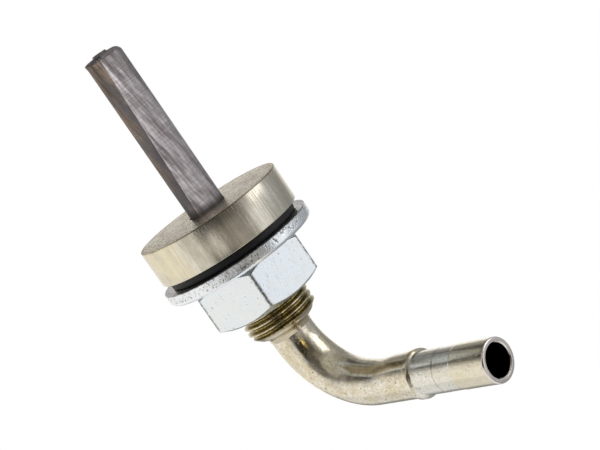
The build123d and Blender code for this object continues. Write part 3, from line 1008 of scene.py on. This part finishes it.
def plated_tube():
    """Warm polished nickel with pits and drawing marks along the tube, a painted dark reflection along it,
    and painted shade inside its bore.
    """
    made, tree, shader = material("plated_tube", 1.0)
    place = attribute(tree, "place")
    station = axis_height(tree, place)
    radius = axis_radius(tree, place)
    clouds = noise(tree, place, (0.35, 0.35, 0.2), detail=6.0, roughness=0.65)
    pits = noise(tree, place, (1.7, 1.7, 1.5), detail=2.0)
    marks = scratches(tree, place, (4.5, 4.5, 0.3), (0.4, 0.4, 0.15))
    colour = mixed(tree, spread(tree, clouds, 0.35, 0.65), TUBE_DULL, TUBE_BRIGHT)
    mottle = noise(tree, place, (0.9, 0.9, 0.6), detail=6.0, roughness=0.75)
    colour = mixed(tree, spread(tree, mottle, 0.42, 0.58, 0.30, 0.0), colour, TUBE_MOTTLE)
    colour = mixed(tree, spread(tree, pits, 0.65, 0.71), colour, TUBE_PIT)
    grain = noise(tree, place, (2.2, 2.2, 1.8), detail=3.0, roughness=0.7)
    colour = mixed(tree, spread(tree, grain, 0.38, 0.56, 0.35, 0.0), colour, TUBE_GRAIN)
    # Painted dark reflection along the bend and the tube, broken up by the mottle
    dark_reflection = times(tree, attribute(tree, "dark_reflection", "Fac"), spread(tree, mottle, 0.38, 0.56, 1.0, 0.62))
    colour = mixed(tree, times(tree, dark_reflection, 0.85), colour, TUBE_DARK_REFLECTION)
    colour = mixed(tree, times(tree, spread(tree, station, *SEAT_START), 0.45), colour, TUBE_SEAT)
    colour = mixed(tree, times(tree, spread(tree, station, *HOSE_END_START), 0.45), colour, TUBE_HOSE_END)
    colour = mixed(tree, times(tree, spread(tree, station, *RIM_START), 0.8), colour, TUBE_RIM)
    from_ring = maths(tree, "ABSOLUTE", maths(tree, "SUBTRACT", station, RING_STATION))
    colour = mixed(tree, spread(tree, from_ring, *RING_WIDTH, 0.35, 0.0), colour, TUBE_RING)
    # Painted shade inside the bore
    colour = mixed(tree, spread(tree, radius, *BORE_WALL, 1.0, 0.0), colour, TUBE_BORE_SHADE)
    roughness = spread(tree, maths(tree, "ADD", clouds, marks), 0.3, 1.3, 0.11, 0.26)
    normal = bumped(tree, spread(tree, pits, 0.64, 0.72, 1.0, 0.0), 0.03)
    normal = bumped(tree, marks, 0.006, 1.0, normal)
    normal = bumped(tree, noise(tree, place, (0.6, 0.6, 0.25), detail=3.0), 0.03, 0.5, normal)
    dimples = noise(tree, place, (2.6, 2.6, 2.2), detail=4.0, roughness=0.7)
    normal = bumped(tree, dimples, 0.018, 1.0, normal)
    finish_surface(tree, shader, colour, roughness, normal)
    return made


def dress(made, body, node_name, finish):
    """Puts a piece on its body in place of its solid, with its finish."""
    made.data.materials.append(finish)
    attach(made, body)
    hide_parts(node_name)


def flat_emitter(name, colour, strength):
    """Material of a plain light or dark card."""
    made = bpy.data.materials.new(name)
    made.use_nodes = True
    tree = made.node_tree
    tree.nodes.clear()
    light = node(tree, "ShaderNodeEmission", {"Color": (*colour, 1.0), "Strength": strength})
    node(tree, "ShaderNodeOutputMaterial", {"Surface": light.outputs[0]})
    return made


def screen(name, azimuths, elevations, colour, strength, distance=CARD_DISTANCE, centre=(0, 0, 0)):
    """Curved card round a place, between two azimuths and two elevations."""
    across = np.radians(np.linspace(*azimuths, CARD_COLUMNS))[:, None]
    up = np.radians(np.linspace(*elevations, CARD_ROWS))[None, :]
    grid = distance * polar(np.cos(up), across, np.sin(up)) + np.array(centre)
    made = build(name, grid, wrap_columns=False, wrap_rows=False)
    made.data.materials.append(flat_emitter(name, colour, strength))
    made.visible_camera = False
    made.visible_shadow = False


def area_light(name, azimuth, elevation, distance, size, power):
    """Soft white square light that shines on the object, with its distance and size in metres."""
    a = math.radians(azimuth)
    e = math.radians(elevation)
    away = Vector((math.cos(a) * math.cos(e), math.sin(a) * math.cos(e), math.sin(e)))
    lamp = bpy.data.lights.new(name, "AREA")
    lamp.size = size
    lamp.energy = power
    made = bpy.data.objects.new(name, lamp)
    bpy.context.scene.collection.objects.link(made)
    made.location = away * distance
    made.rotation_euler = away.to_track_quat("Z", "Y").to_euler()
    made.visible_glossy = False


def studio():
    """White sweep behind, a window to the right, and the dim room behind the camera and above."""
    screen("sweep", (152, 262), (-30, 14), WHITE_CARD, 0.93)
    screen("sweep_middle", (121, 152), (-30, 14), MIDDLE_CARD, 1.02)
    screen("sweep_edge", (109, 121), (-30, 14), MIDDLE_CARD, 0.74)
    screen("sweep_top", (162, 262), (14, 29), WHITE_CARD, 0.80)
    screen("sweep_dusk", (109, 190), (29, 38), WHITE_CARD, 0.26)
    screen("sweep_dusk_left", (190, 262), (29, 38), WHITE_CARD, 0.42)
    screen("sweep_corner", (109, 162), (14, 29), WHITE_CARD, 0.36)
    screen("sweep_side", (262, 288), (-34, 8), WHITE_CARD, 0.76)
    screen("sweep_shade", (262, 284), (8, 38), WHITE_CARD, 0.22)
    screen("sweep_turn", (288, 314), (-34, -3), WHITE_CARD, 0.80)
    screen("window", (20, 52), (-3, 31), DAYLIGHT, 2.0)
    screen("window_low", (8, 36), (-30, -4), DAYLIGHT, 0.92)
    screen("window_side", (36, 74), (-30, -2), COOL_WALL, 0.46)
    screen("window_wall", (52, 74), (-2, 38), COOL_WALL, 0.46)
    screen("window_frame", (7, 22), (-4, 38), PALE_FRAME, 0.40)
    screen("dark_frame", (-4, 7), (-4, 38), PALE_FRAME, 0.20)
    screen("grey_wall", (74, 109), (-30, 38), GREY_WALL, 0.34)
    screen("dark_floor", (314, 368), (-34, -3), WARM_FLOOR, 0.33)
    screen("dark_room", (284, 330), (-3, 13), WARM_WALL, 0.015)
    screen("dark_shelf", (284, 330), (13, 38), WARM_WALL, 0.11)
    screen("dark_side", (330, 356), (-3, 22), WARM_WALL, 0.09)
    screen("dim_side", (330, 356), (22, 38), WARM_WALL, 0.22)
    screen("dark_gap", (289, 299), (-30, -3), WARM_GAP, 0.32, distance=GAP_DISTANCE)
    screen("near_card", (290, 326), (-9, 10), BROWN_CARD, 0.04, NEAR_CARD_DISTANCE, BEND_SIDE)
    screen("warm_lamp", (331, 340), (2, 7), LAMP_GLOW, 3.2, WARM_LAMP_DISTANCE, BEND_SIDE)
    screen("ceiling_front", (250, 405), (38, 70), CEILING, 0.45)
    screen("ceiling_right", (45, 100), (38, 70), CEILING, 0.30)
    screen("ceiling_back", (100, 228), (38, 70), CEILING, 0.08)
    screen("ceiling_left", (228, 250), (38, 70), CEILING, 0.24)
    screen("ceiling_middle", (0, 360), (70, 89), CEILING, 0.15)


def white_room():
    """World that is white to the camera and a plain grey to everything else."""
    world = bpy.data.worlds.new("white_room")
    bpy.context.scene.world = world
    world.use_nodes = True
    tree = world.node_tree
    tree.nodes.clear()
    path = node(tree, "ShaderNodeLightPath").outputs
    seen = maths(tree, "MAXIMUM", path["Is Camera Ray"], path["Is Transmission Ray"])
    around = node(tree, "ShaderNodeBackground", {"Color": (*ROOM_COLOUR, 1.0), "Strength": ROOM_STRENGTH})
    white = node(tree, "ShaderNodeBackground", {"Color": (1.0, 1.0, 1.0, 1.0), "Strength": 1.0})
    both = node(tree, "ShaderNodeMixShader", {0: seen, 1: around.outputs[0], 2: white.outputs[0]})
    node(tree, "ShaderNodeOutputWorld", {"Surface": both.outputs[0]})


def pale_ground():
    """Grey that is white to the camera and glows in metal, less so under the window and behind."""
    made, tree, shader = material("floor", 0.0)
    shader.inputs["Base Color"].default_value = (*FLOOR_COLOUR, 1.0)
    shader.inputs["Roughness"].default_value = 0.9
    shader.inputs["Emission Color"].default_value = (1.0, 1.0, 1.0, 1.0)
    path = node(tree, "ShaderNodeLightPath").outputs
    place = attribute(tree, "place")
    under_window = spread(tree, towards(tree, place, WINDOW_DIRECTION), *WINDOW_SHADE, 0.54, 0.28)
    behind = spread(tree, towards(tree, place, BACK_DIRECTION), *BACK_SHADE, 1.0, 0.12)
    mirrored = times(tree, path["Is Glossy Ray"], times(tree, under_window, behind))
    glow = maths(tree, "ADD", path["Is Camera Ray"], mirrored)
    tree.links.new(glow, shader.inputs["Emission Strength"])
    return made


def floor():
    """Pale round ground far below."""
    angles = np.radians(np.linspace(0, 360, FLOOR_COLUMNS, endpoint=False))[:, None]
    radii = np.array([[FLOOR_CENTRE_RADIUS, FLOOR_RADIUS]])
    made = build("floor", polar(radii, angles, FLOOR_HEIGHT), wrap_rows=False)
    made.data.materials.append(pale_ground())


def camera():
    """Camera with the photograph's place, aim and roll."""
    lens = bpy.data.cameras.new("camera")
    lens.lens = CAMERA_LENS
    lens.sensor_width = CAMERA_SENSOR
    lens.clip_start = CAMERA_NEAR * MM
    lens.clip_end = CAMERA_FAR * MM
    made = bpy.data.objects.new("camera", lens)
    bpy.context.scene.collection.objects.link(made)
    place = Vector(CAMERA_PLACE)
    made.location = place * MM
    made.rotation_mode = "QUATERNION"
    roll = Quaternion((0, 0, 1), -math.radians(CAMERA_ROLL))
    made.rotation_quaternion = (Vector(CAMERA_TARGET) - place).to_track_quat("-Z", "Y") @ roll
    bpy.context.scene.camera = made


camera()
white_room()
floor()
bpy.context.scene.view_settings.view_transform = "Standard"

studio()
area_light("key_light", azimuth=-55, elevation=40, distance=0.7, size=0.5, power=4)
area_light("fill_light", azimuth=60, elevation=35, distance=0.8, size=0.6, power=2)

gauze = wire_gauze()
washer_zinc = zinc("zinc_washer", "tear", WASHER_DULL, WASHER_BRIGHT)
nut_zinc = zinc("zinc_nut", "edge", NUT_DULL, NUT_BRIGHT)
dress(fitting_body(), "fitting", "fitting_body", plated_body())
dress(strainer_screen(), "fitting", "strainer_screen", gauze)
dress(strainer_flap(), "fitting", "strainer_screen", gauze)
dress(strainer_layer(), "fitting", "strainer_screen", gauze)
dress(sealing_washer(), "fitting", "sealing_washer", rubber())
dress(elbow_tube(), "fitting", "elbow_tube", plated_tube())
dress(flat_washer(), "washer", "flat_washer", washer_zinc)
dress(hex_nut(), "nut", "hex_nut", nut_zinc)
